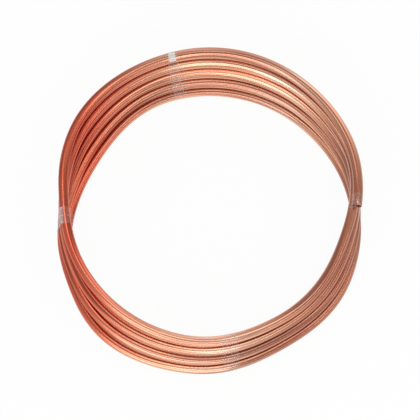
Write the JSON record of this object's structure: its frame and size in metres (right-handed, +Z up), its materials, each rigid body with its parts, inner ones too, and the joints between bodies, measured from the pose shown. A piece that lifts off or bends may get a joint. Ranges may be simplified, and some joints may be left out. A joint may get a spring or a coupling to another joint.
{
  "type": "copper tube coil",
  "caption": "Length of soft bright copper tube in a loose round coil, its leaning turns held together by bands of clear tape.",
  "frame": {"origin": "under the middle of the coil, on the floor that it lies on", "axes": "+Z up along the coil's axis, +Y towards the back, the way the turns lean as they climb, +X to the right"},
  "size_m": [0.303, 0.3283, 0.052],
  "materials": {
    "copper": "bright drawn copper, lightly handled",
    "clear_tape": "clear gloss film"
  },
  "bodies": {
    "root": {"copper_tube": "copper", "tape_back": "clear_tape", "tape_left": "clear_tape", "tape_front": "clear_tape", "tape_right": "clear_tape"}
  },
  "joints": []
}
